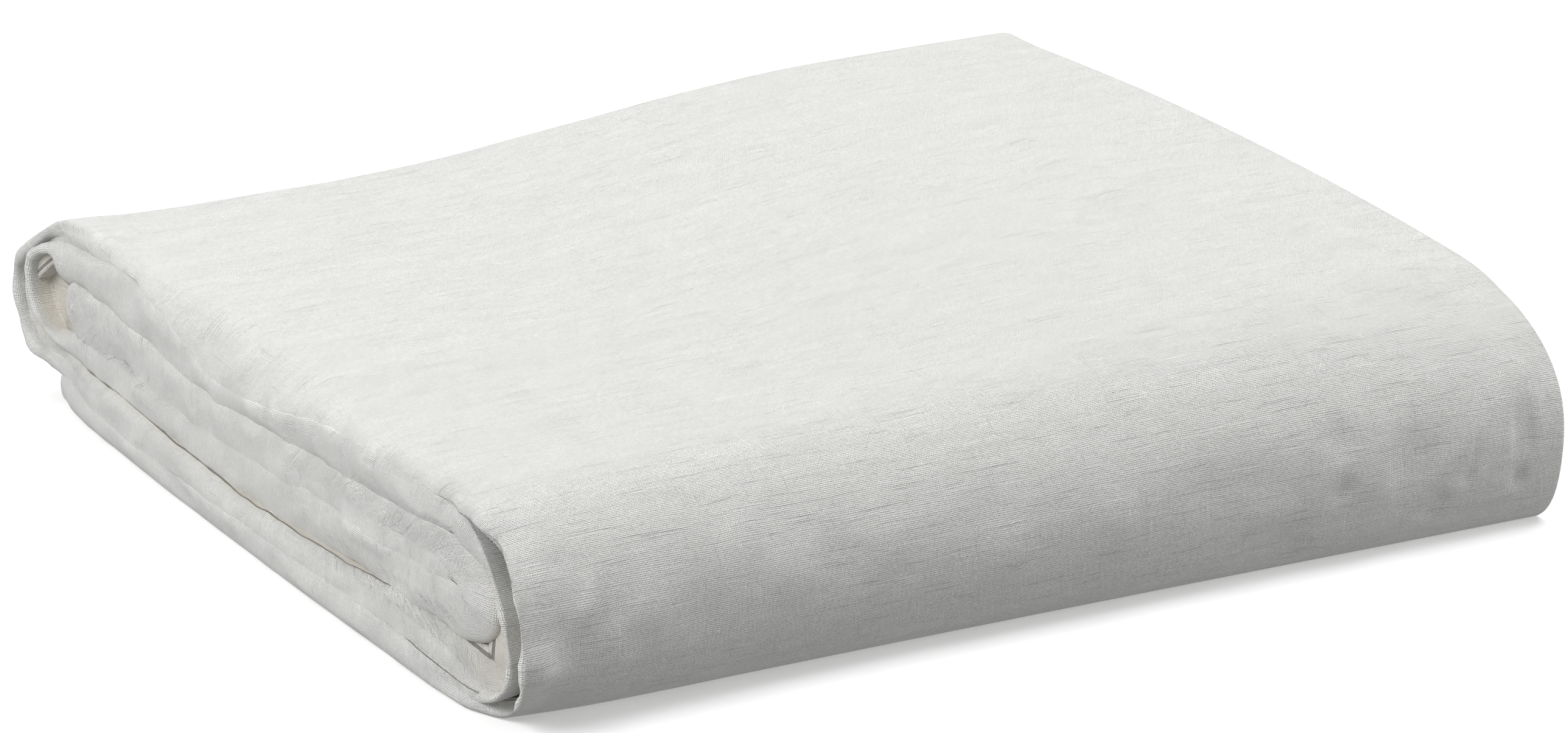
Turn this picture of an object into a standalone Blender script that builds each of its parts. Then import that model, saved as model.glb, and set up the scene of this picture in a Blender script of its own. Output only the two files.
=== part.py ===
"""A washed linen fitted sheet, folded into a flat packet.

Metres, +Z up. X runs along the packet's long side, the round front fold is at -Y and the loops of
the back folds are at +Y. The origin is on the surface that the packet lies on, below the middle of
its box. The cloth is first folded lengthwise into a band of some six plies, and the band is then
rolled flat, over and over, around its inner end. Each layer here is the whole band, and the layers
lie a little apart.
"""

from collections import namedtuple
import math

import bmesh
import bpy
from mathutils import Vector

# Driving sizes: the packet's length, the air between layers, and how far from the middle along Y
# the back and the front station lie, where the tables below give thickness and height
LENGTH = 0.400
GAP = 0.0012
STATION_Y = 0.150
MM = 0.001

# Where the box's middle lies. The tables below measure X from the middle of the length, and Y from
# the middle of the flat bottom layer.
MIDDLE_X = -0.0015
MIDDLE_Y = 0.0050

# The layers from the surface up, with the band's thickness in millimetres at the back station, in
# the middle and at the front station of the left end.
Layer = namedtuple("Layer", "name back middle front")
STACK = (
    Layer("bottom", 8.0, 9.0, 7.0),
    Layer("second", 10.0, 8.5, 10.0),
    Layer("third", 11.0, 10.0, 12.0),
    Layer("core_lower", 7.0, 6.5, 7.5),
    Layer("core_upper", 7.0, 6.5, 7.5),
    Layer("inner_top", 7.0, 7.5, 9.0),
    Layer("top", 9.0, 12.0, 8.5),
)

# The folds in the order in which the band runs through them, from its outer end to its inner one.
# Each joins a lower and an upper layer. At either end of the packet, in millimetres: where the
# upper layer starts to curve, how far out the fold reaches and at what height, and where the lower
# layer starts to curve. full_up and full_down are 2 for an ellipse and more for a squarer fold.
FoldEnd = namedtuple("FoldEnd", "upper_y reach_y reach_z lower_y")
Fold = namedtuple("Fold", "name lower upper full_up full_down steps left right")
FOLDS = (
    Fold(
        "front_outer", "bottom", "top", 2.0, 2.1, 18,
        left=FoldEnd(-150, -187, 27, -170), right=FoldEnd(-128, -183, 27, -172),
    ),
    Fold(
        "back_outer", "second", "top", 1.75, 2.6, 18,
        left=FoldEnd(166, 207, 37, 165), right=FoldEnd(168, 203, 37, 160),
    ),
    Fold(
        "front_inner", "second", "inner_top", 2.2, 2.2, 14,
        left=FoldEnd(-150, -173, 29, -151), right=FoldEnd(-128, -169, 27, -150),
    ),
    Fold(
        "back_inner", "third", "inner_top", 1.9, 2.5, 14,
        left=FoldEnd(156, 191, 40, 157), right=FoldEnd(156, 188, 39, 150),
    ),
    Fold(
        "front_core", "third", "core_upper", 2.0, 2.0, 12,
        left=FoldEnd(-145, -159, 35, -147), right=FoldEnd(-132, -145, 35, -134),
    ),
    Fold(
        "core_nose", "core_lower", "core_upper", 2.0, 2.0, 10,
        left=FoldEnd(154, 158.3, 40.2, 154), right=FoldEnd(148, 152.3, 40.2, 148),
    ),
)

# The band's two ends, in millimetres along Y at the packet's left and right end: the outer one
# shows under the back loop
OUTER_END_Y = {"left": 168, "right": 168}
INNER_END_Y = {"left": -136, "right": -122}

# The packet's height in millimetres at the back, in the middle and at the front
HEIGHT_LEFT = (67.0, 68.5, 69.5)
HEIGHT_RIGHT = (87.5, 89.0, 79.0)
RISE_START = -0.095
RISE_LENGTH = 0.210
RISE_EVEN_SHARE = 0.25

# The front folds flare out towards the left end
FLARE = 0.011
FLARE_FADE = 0.055
FLARE_FROM = -0.145
FLARE_FULL = -0.188

# The packet's lower corner at the left and the front is drawn back
CORNER = 0.007
CORNER_FROM_Y = -0.160
CORNER_LENGTH_Y = 0.022
CORNER_TOP_Z = 0.024

# How far each layer's left and right end stands out past the length, in millimetres
END_OFFSETS = {
    "bottom": (5.5, 1.5),
    "second": (2.0, 0.5),
    "third": (1.0, 2.5),
    "core_lower": (0.5, 1.0),
    "core_upper": (0.5, 1.5),
    "inner_top": (0.5, 0.5),
    "top": (0.5, 2.0),
}

# Mesh density: steps along a layer, across the band and around its edges, and the rings that round
# either end of the band, the smallest of them at CAP_START of a step from the end's middle
LAYER_STEPS = 7
SIDE_STEPS = 11
END_STEPS = 4
CAP_RINGS = 3
CAP_START = 0.35

# Off-white washed linen
CLOTH_COLOUR = (0.86, 0.86, 0.83, 1.0)
CLOTH_ROUGHNESS = 0.9


# A place on the band's middle line: where it lies, the band's thickness there, and on a fold the
# two layers that it joins, with how far it has gone from the one to the other
Station = namedtuple("Station", "y z thick layer other share")


def clear_scene():
    for ob in list(bpy.data.objects):
        bpy.data.objects.remove(ob, do_unlink=True)


def smooth(t):
    """0 to 1 with level ends."""
    t = min(max(t, 0.0), 1.0)
    return t * t * (3.0 - 2.0 * t)


def through_three(y, back, middle, front):
    """The parabola through three values along Y, held level past its end stations."""
    t = min(max(y / STATION_Y, -1.0), 1.0)
    return middle + t * (back - front) / 2.0 + t * t * ((back + front) / 2.0 - middle)


def layer_thickness(name, y):
    layer = next(row for row in STACK if row.name == name)
    return through_three(y, layer.back, layer.middle, layer.front) * MM


def layer_height(name, y):
    """The height of a layer's middle line above the surface, in the left end's sizes."""
    height = 0.0
    for layer in STACK:
        thick = layer_thickness(layer.name, y)
        if layer.name == name:
            return height + thick / 2.0
        height += thick + GAP
    raise KeyError(name)


def stack_height(y):
    return layer_height(STACK[-1].name, y) + layer_thickness(STACK[-1].name, y) / 2.0


def packet_height(x, y):
    even = (x + LENGTH / 2.0) / LENGTH
    rise = RISE_EVEN_SHARE * even + (1.0 - RISE_EVEN_SHARE) * smooth((x - RISE_START) / RISE_LENGTH)
    left = through_three(y, *HEIGHT_LEFT)
    right = through_three(y, *HEIGHT_RIGHT)
    return (left + (right - left) * rise) * MM


def quarter(start, reach, t, full, outward):
    """A point on a quarter of a squared ellipse between a layer's end and its fold's reach."""
    angle = t * math.pi / 2.0 if outward else (1.0 - t) * math.pi / 2.0
    along = math.sin(angle) ** (2.0 / full)
    rise = math.cos(angle) ** (2.0 / full)
    y = start[0] + (reach[0] - start[0]) * along
    z = reach[1] + (start[1] - reach[1]) * rise
    return y, z


def fold_line(fold, end, from_upper):
    """The middle line of one fold at one end of the packet, with the ends of its layers left out."""
    steps = fold.steps // 2
    reach = (end.reach_y * MM, end.reach_z * MM)
    starts = {
        "upper": (end.upper_y * MM, layer_height(fold.upper, end.upper_y * MM)),
        "lower": (end.lower_y * MM, layer_height(fold.lower, end.lower_y * MM)),
    }
    first, last = ("upper", "lower") if from_upper else ("lower", "upper")
    full = {"upper": fold.full_up, "lower": fold.full_down}
    points = [quarter(starts[first], reach, i / steps, full[first], True) for i in range(1, steps + 1)]
    points += [quarter(starts[last], reach, i / steps, full[last], False) for i in range(1, steps)]
    return points


def layer_line(name, first_y, last_y):
    points = []
    for i in range(LAYER_STEPS + 1):
        y = (first_y + (last_y - first_y) * i / LAYER_STEPS) * MM
        points.append((y, layer_height(name, y)))
    return points


def band_run():
    """The layers and folds in the band's order: each layer's name with the fold at either end."""
    run = []
    name = "bottom"
    before = None
    for after in FOLDS + (None,):
        run.append((name, before, after))
        if after is not None:
            name = after.upper if after.lower == name else after.lower
            before = after
    return run


def layer_end_y(fold, name, end):
    side = getattr(fold, end)
    return side.upper_y if fold.upper == name else side.lower_y


def band_line(end):
    """The band's middle line at one end of the packet, as stations from its outer end to its inner."""
    stations = []
    for name, before, after in band_run():
        first = OUTER_END_Y[end] if before is None else layer_end_y(before, name, end)
        last = INNER_END_Y[end] if after is None else layer_end_y(after, name, end)
        for y, z in layer_line(name, first, last):
            stations.append(Station(y, z, layer_thickness(name, y), name, name, 0.0))
        if after is None:
            continue
        from_upper = after.upper == name
        other = after.lower if from_upper else after.upper
        points = fold_line(after, getattr(after, end), from_upper)
        thick_from = layer_thickness(name, last * MM)
        thick_to = layer_thickness(other, layer_end_y(after, other, end) * MM)
        for i, (y, z) in enumerate(points, start=1):
            share = i / (len(points) + 1)
            thick = thick_from + (thick_to - thick_from) * share
            stations.append(Station(y, z, thick, name, other, share))
    return stations


def front_flare(x, y):
    near = math.exp(-(x + LENGTH / 2.0) / FLARE_FADE)
    return FLARE * near * smooth((y - FLARE_FROM) / (FLARE_FULL - FLARE_FROM))


def placed(x, y, z):
    """A point of the even packet, moved to the packet's true height, flare and origin."""
    true_z = z * packet_height(x, y) / stack_height(y)
    return Vector((x - MIDDLE_X, y - front_flare(x, y) - MIDDLE_Y, true_z))


def end_offset(station, side):
    one = END_OFFSETS[station.layer][side]
    other = END_OFFSETS[station.other][side]
    return (one + (other - one) * station.share) * MM


def corner_retreat(station):
    low = smooth((CORNER_TOP_Z - station.z) / CORNER_TOP_Z)
    return CORNER * low * smooth((CORNER_FROM_Y - station.y) / CORNER_LENGTH_Y)


def ring_profile(radius, left, right):
    """The band's outline across its width, ends rounded: x and the share of half the thickness."""
    low = -LENGTH / 2.0 - left + radius
    high = LENGTH / 2.0 + right - radius
    outline = []
    for i in range(SIDE_STEPS + 1):
        outline.append((low + (high - low) * i / SIDE_STEPS, 1.0))
    for i in range(1, END_STEPS):
        angle = math.pi / 2.0 - math.pi * i / END_STEPS
        outline.append((high + radius * math.cos(angle), math.sin(angle)))
    for i in range(SIDE_STEPS + 1):
        outline.append((high + (low - high) * i / SIDE_STEPS, -1.0))
    for i in range(1, END_STEPS):
        angle = -math.pi / 2.0 - math.pi * i / END_STEPS
        outline.append((low + radius * math.cos(angle), math.sin(angle)))
    return outline


def blended(left, right, i, x):
    """The band's y, z and half thickness at station i, between its lines at the packet's two ends."""
    t = min(max((x + LENGTH / 2.0) / LENGTH, 0.0), 1.0)
    a = left[i]
    b = right[i]
    return a.y + (b.y - a.y) * t, a.z + (b.z - a.z) * t, (a.thick + (b.thick - a.thick) * t) / 2.0


def band_point(left, right, i, x, across_share, along_share):
    """A point of the band at station i, in shares of half its thickness across and along it."""
    y, z, radius = blended(left, right, i, x)
    y0, z0, _ = blended(left, right, max(i - 1, 0), x)
    y1, z1, _ = blended(left, right, min(i + 1, len(left) - 1), x)
    if left[i].layer == left[i].other:
        # A layer's faces lie straight above and below its middle line, so the bottom one is flat
        z1 = z0
    long = math.hypot(y1 - y0, z1 - z0)
    along = ((y1 - y0) / long, (z1 - z0) / long)
    across = (-along[1], along[0])
    offset = across_share * radius
    shift = along_share * radius
    return placed(x, y + offset * across[0] + shift * along[0], z + offset * across[1] + shift * along[1])


def ring_places(last):
    """Each ring's station, its size and its shift along the band, in shares of half the thickness."""
    angles = [math.pi / 2.0 * (ring + CAP_START) / CAP_RINGS for ring in range(CAP_RINGS)]
    places = [(0, math.sin(angle), -math.cos(angle)) for angle in angles]
    places += [(i, 1.0, 0.0) for i in range(last + 1)]
    places += [(last, math.sin(angle), math.cos(angle)) for angle in reversed(angles)]
    return places


def sheet_mesh():
    left = band_line("left")
    right = band_line("right")
    bm = bmesh.new()
    rings = []
    for i, size, shift in ring_places(len(left) - 1):
        station = left[i]
        radius = station.thick / 2.0
        stands_out = (end_offset(station, 0) - corner_retreat(station), end_offset(station, 1))
        ring = []
        for x, across in ring_profile(radius, *stands_out):
            x -= math.copysign(radius * (1.0 - size), x)
            ring.append(bm.verts.new(band_point(left, right, i, x, across * size, shift)))
        rings.append(ring)
    for one, two in zip(rings, rings[1:]):
        for j in range(len(one)):
            k = (j + 1) % len(one)
            bm.faces.new((one[j], one[k], two[k], two[j]))
    bm.faces.new(rings[0][::-1])
    bm.faces.new(rings[-1])
    bmesh.ops.recalc_face_normals(bm, faces=bm.faces)
    bmesh.ops.triangulate(bm, faces=bm.faces)
    mesh = bpy.data.meshes.new("fitted_sheet")
    bm.to_mesh(mesh)
    bm.free()
    return mesh


def cloth_material():
    material = bpy.data.materials.new("linen")
    material.use_nodes = True
    shader = material.node_tree.nodes["Principled BSDF"]
    shader.inputs["Base Color"].default_value = CLOTH_COLOUR
    shader.inputs["Roughness"].default_value = CLOTH_ROUGHNESS
    shader.inputs["Metallic"].default_value = 0.0
    return material


def make_sheet():
    mesh = sheet_mesh()
    mesh.materials.append(cloth_material())
    mesh.shade_smooth()
    sheet = bpy.data.objects.new("fitted_sheet", mesh)
    bpy.context.scene.collection.objects.link(sheet)
    return sheet


clear_scene()
make_sheet()
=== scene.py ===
"""The looks of a washed linen fitted sheet, folded into a flat packet.

Metres, +Z up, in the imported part's frame. X runs along the packet's long side, the layered end that
the photo shows is at -X, the round front fold at -Y and the loops of the back folds at +Y. The cloth
here is the skin of the part's one solid: the same band, rolled flat around its inner end, with the
sagging, lipped ends, the creases and the weave that the solid leaves out.
"""

from collections import namedtuple
import math

import bpy
import numpy as np
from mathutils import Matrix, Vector, noise


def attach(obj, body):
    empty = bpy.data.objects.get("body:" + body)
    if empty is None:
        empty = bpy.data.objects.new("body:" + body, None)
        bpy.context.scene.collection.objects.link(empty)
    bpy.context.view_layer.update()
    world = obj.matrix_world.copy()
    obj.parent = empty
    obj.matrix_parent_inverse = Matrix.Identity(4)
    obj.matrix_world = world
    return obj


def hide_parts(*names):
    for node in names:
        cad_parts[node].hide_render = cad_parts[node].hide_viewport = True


# Driving sizes, as the part has them: the packet's length, the air between layers, and how far from
# the middle along Y the back and the front station lie
LENGTH = 0.400
GAP = 0.0012
STATION_Y = 0.150
MM = 0.001
MIDDLE_X = -0.0015
MIDDLE_Y = 0.0050

# The layers from the surface up, with the band's thickness in millimetres at the back station, in
# the middle and at the front station
Layer = namedtuple("Layer", "name back middle front")
STACK = (
    Layer("bottom", 8.0, 9.0, 7.0),
    Layer("second", 10.0, 8.5, 10.0),
    Layer("third", 11.0, 10.0, 12.0),
    Layer("core_lower", 7.0, 6.5, 7.5),
    Layer("core_upper", 7.0, 6.5, 7.5),
    Layer("inner_top", 7.0, 7.5, 9.0),
    Layer("top", 9.0, 12.0, 8.5),
)

# The folds in the order in which the band runs through them, from its outer end to its inner one.
# Each joins a lower and an upper layer. At either end of the packet, in millimetres: where the
# upper layer starts to curve, how far out the fold reaches and at what height, and where the lower
# layer starts to curve. full_up and full_down are 2 for an ellipse, more for a squarer fold and
# less for a flatter one.
FoldEnd = namedtuple("FoldEnd", "upper_y reach_y reach_z lower_y full_up full_down")
Fold = namedtuple("Fold", "name lower upper steps left right")
FOLDS = (
    Fold(
        "front_outer", "bottom", "top", 44,
        left=FoldEnd(-150, -187, 27, -170, 2.0, 2.1),
        right=FoldEnd(-128, -183, 27, -172, 2.0, 2.1),
    ),
    Fold(
        "back_outer", "second", "top", 36,
        left=FoldEnd(166, 207, 37.5, 172, 1.15, 3.0),
        right=FoldEnd(168, 203, 37, 160, 1.75, 2.6),
    ),
    Fold(
        "front_inner", "second", "inner_top", 28,
        left=FoldEnd(-150, -173, 25, -163, 1.5, 2.6),
        right=FoldEnd(-128, -169, 27, -150, 2.2, 2.2),
    ),
    Fold(
        "back_inner", "third", "inner_top", 26,
        left=FoldEnd(152, 191, 42, 160, 1.4, 2.6),
        right=FoldEnd(156, 188, 39, 150, 1.9, 2.5),
    ),
    Fold(
        "front_core", "third", "core_upper", 24,
        left=FoldEnd(-143, -164, 36, -150, 2.0, 2.3),
        right=FoldEnd(-132, -145, 35, -134, 2.0, 2.0),
    ),
    Fold(
        "core_nose", "core_lower", "core_upper", 16,
        left=FoldEnd(154, 158.3, 40.2, 154, 2.0, 2.0),
        right=FoldEnd(148, 152.3, 40.2, 148, 2.0, 2.0),
    ),
)

# The band's two ends, in millimetres along Y
OUTER_END_Y = {"left": 167, "right": 168}
INNER_END_Y = {"left": -147, "right": -122}

# The packet's height in millimetres at the back, in the middle and at the front
HEIGHT_LEFT = (67.0, 68.5, 69.5)
HEIGHT_RIGHT = (87.5, 89.0, 79.0)
RISE_START = -0.095
RISE_LENGTH = 0.210
RISE_EVEN_SHARE = 0.25

# The front folds flare out towards the left end, and the lower corner there is drawn back
FLARE = 0.011
FLARE_FADE = 0.055
FLARE_FROM = -0.145
FLARE_FULL = -0.188
FLARE_TUCK = 1.0
FLARE_TUCK_HEIGHT = 0.022
CORNER = 0.007
CORNER_FROM_Y = -0.160
CORNER_LENGTH_Y = 0.022
CORNER_TOP_Z = 0.024

# The layers sag and spread at the very left end. Each row has the height in millimetres of every
# layer's upper face there, at one place along Y.
LeftEnd = namedtuple("LeftEnd", "y bottom second third core_lower core_upper inner_top top")
LEFT_END = (
    LeftEnd(-172, 4.0, 20.5, 36.0, 43.0, 53.0, 62.0, 68.0),
    LeftEnd(-150, 6.5, 21.5, 36.5, 44.0, 54.0, 64.0, 69.5),
    LeftEnd(-100, 10.0, 21.0, 33.5, 41.5, 49.5, 63.5, 69.0),
    LeftEnd(-55, 10.0, 18.5, 34.0, 40.5, 47.5, 60.0, 68.5),
    LeftEnd(-10, 10.0, 16.5, 30.5, 38.0, 45.5, 52.5, 68.0),
    LeftEnd(30, 9.5, 16.5, 29.0, 36.5, 43.5, 50.0, 68.0),
    LeftEnd(65, 8.5, 17.5, 29.5, 37.0, 44.5, 57.5, 68.5),
    LeftEnd(105, 8.5, 19.0, 32.0, 39.5, 47.5, 66.0, 70.0),
    LeftEnd(150, 11.0, 20.0, 33.0, 40.5, 48.0, 62.0, 70.5),
    LeftEnd(178, 13.0, 22.5, 35.0, 41.0, 48.0, 55.0, 69.0),
)
LEFT_SAG_FADE = 0.026

# The air between layers deep in the packet, and in millimetres above each layer at the left end
SKIN_GAP = 0.0004
LEFT_GAPS = {
    "bottom": -4.0, "second": -2.5, "third": -5.2, "core_lower": -4.0, "core_upper": -2.5,
    "inner_top": -2.0, "top": 0.0,
}

# The shape of each layer's end in rows: the place along Y, how far the end stands out there past the
# length, how deep its rounding goes on the outer and the inner side of the roll, all in millimetres,
# where its tip lies across the band, from 1 at the outer side to -1, and how far it opens into a
# thin outer lip, 0 to 1
LEFT_ENDS = {
    "bottom": (
        (-186, 1, 4, 3, 0, 1),
        (-168, 2.5, 4, 3, 0, 0.3),
        (-140, 5, 4, 2.5, 0, 0),
        (-40, 6.3, 4, 2.5, 0, 0),
        (0, 6.8, 4.5, 2.3, -0.4, 0),
        (60, 6.5, 4.5, 2.3, -0.4, 0),
        (140, 4.6, 4.5, 2.3, -0.4, 0),
        (155, 3.2, 4.5, 3, -0.3, 0),
        (168, 0.5, 4.5, 4, 0, 0),
    ),
    "second": (
        (-172, 0.5, 4, 4, 0, 1),
        (-150, 1, 4, 4, 0, 0.3),
        (-120, 3.8, 3.2, 4, 0.1, 0),
        (-40, 5.4, 2.6, 4.8, 0.2, 0),
        (0, 6, 1.8, 5.2, 0.3, 0),
        (60, 5.7, 1.8, 5.2, 0.3, 0),
        (140, 4.2, 2, 4.8, 0.3, 0),
        (165, 1, 3, 4.5, 0, 0.3),
        (190, 0.5, 4, 4.5, 0, 1),
    ),
    "third": (
        (-163, 1.5, 5.5, 1, -0.7, 0),
        (-146, 1.5, 4.5, 2, 0, 0),
        (-110, 1.5, 4, 2, 0, 0),
        (120, 1.5, 4, 2, 0, 0),
        (154, 1, 5, 4, 0, 0.1),
        (184, 0.5, 5, 5, 0, 1),
    ),
    "core_lower": (
        (-150, 1.1, 3, 3, -0.66, 0),
        (148, 1.5, 3.5, 3, -0.66, 0),
        (156, 1.5, 3.5, 2, -0.65, 0),
    ),
    "core_upper": (
        (-158, 1.2, 4.5, 1, -0.7, 0),
        (-146, 1.1, 3, 3, -0.64, 0),
        (148, 1.5, 3.5, 3, -0.64, 0),
        (156, 1.5, 3.5, 2, -0.65, 0),
    ),
    "inner_top": (
        (-172, 0.5, 4, 4, 0.3, 1),
        (-158, 0.5, 2, 3, 0.3, 0),
        (-125, 1, 1, 3, 0.3, 0),
        (60, 1, 1.5, 3, 0.3, 0),
        (110, 0.5, 2.5, 3, 0.3, 0),
        (148, 0, 4, 5, 0, 0),
        (171, 0, 5, 5, 0, 0),
        (177, 0, 5, 5, 0, 1),
    ),
    "top": (
        (-178, 0.5, 5, 2, -0.4, 1),
        (-162, 0.5, 5.5, 1, -0.5, 0),
        (-100, 0.5, 7, 0.5, -0.7, 0),
        (-70, 0.5, 9, 0.5, -0.9, 0),
        (-42, 0.5, 14, 0.5, -1, 0),
        (-10, 0.5, 17, 0.5, -1, 0),
        (45, 0.5, 17, 0.5, -1, 0),
        (75, 0, 13, 1, -0.9, 0),
        (100, -0.5, 7, 2, -0.6, 0),
        (138, -1, 6, 3, -0.4, 0),
        (156, -1, 5, 3.5, 0, 0.25),
        (182, 0, 5, 3.5, 0, 1),
    ),
}
RIGHT_ENDS = {
    "bottom": (
        (-180, 1.5, 4, 4, 0, 0.8),
        (-160, 1.5, 4, 4, 0, 0),
        (160, 1.5, 4, 4, 0, 0),
    ),
    "second": (
        (-168, 0.5, 4, 4, 0, 0.6),
        (-140, 0.5, 4, 4, 0, 0),
        (160, 0.5, 4, 4, 0, 0),
        (195, 0.5, 4, 4, 0, 0.9),
    ),
    "third": (
        (-145, 2.5, 5, 4, 0, 0.4),
        (-125, 2.5, 5, 4, 0, 0),
        (150, 2.5, 5, 4, 0, 0),
        (180, 2.5, 5, 4, 0, 0.9),
    ),
    "core_lower": (
        (-130, 1, 4, 3, 0, 0),
        (150, 1, 4, 3, 0, 0),
    ),
    "core_upper": (
        (-145, 1.5, 4, 3, 0, 0.4),
        (-125, 1.5, 4, 3, 0, 0),
        (150, 1.5, 4, 3, 0, 0),
    ),
    "inner_top": (
        (-168, 0.5, 4, 4, 0, 0.6),
        (-140, 0.5, 4, 4, 0, 0),
        (160, 0.5, 4, 4, 0, 0.1),
        (180, 0.5, 4, 4, 0, 0.9),
    ),
    "top": (
        (-180, 2, 7, 5, -0.2, 0.8),
        (-150, 2, 7, 5, -0.2, 0),
        (-60, 2, 9, 5, -0.2, 0),
        (110, 2, 9, 5, -0.2, 0),
        (165, 2, 7, 5, -0.2, 0.1),
        (195, 2, 7, 5, -0.2, 0.9),
    ),
}
# The top layer's rounding at the left end is nearer to a chamfer than to a round: 2 is an ellipse
OUTER_FULL = {"top": 1.6}

# On each fold, in millimetres: how deep the recess behind a lip is and how thick the lip is
LEFT_LIPS = {
    "front_outer": (4.5, 1.7), "back_outer": (4.0, 3.4), "front_inner": (4.0, 1.7),
    "back_inner": (9.0, 2.4), "front_core": (4.0, 2.0), "core_nose": (4.0, 2.0),
}
RIGHT_LIPS = {
    "front_outer": (9.0, 1.7), "back_outer": (9.0, 1.7), "front_inner": (8.0, 1.7),
    "back_inner": (12.0, 1.7), "front_core": (6.0, 1.7), "core_nose": (5.0, 1.7),
}

# The ends of the two inmost folds at -X close over the hollow inside them: to where in millimetres
# along Y and Z, and how deep behind the length's end. CLOSING_COLUMN is the depth in metres between
# the last columns there, CLOSING_FLOOR how far the recess floor runs towards that point, and
# CLOSING_OPEN how much of the hollow's width the last column but one keeps.
Closing = namedtuple("Closing", "y z depth")
CLOSINGS = {"back_inner": Closing(155.0, 40.5, 10.0), "front_core": Closing(-148.0, 38.5, 4.5)}
CLOSING_FROM_Y = 0.138
CLOSING_COLUMN = 0.0003
CLOSING_FLOOR = 0.5
CLOSING_OPEN = 0.04

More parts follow.
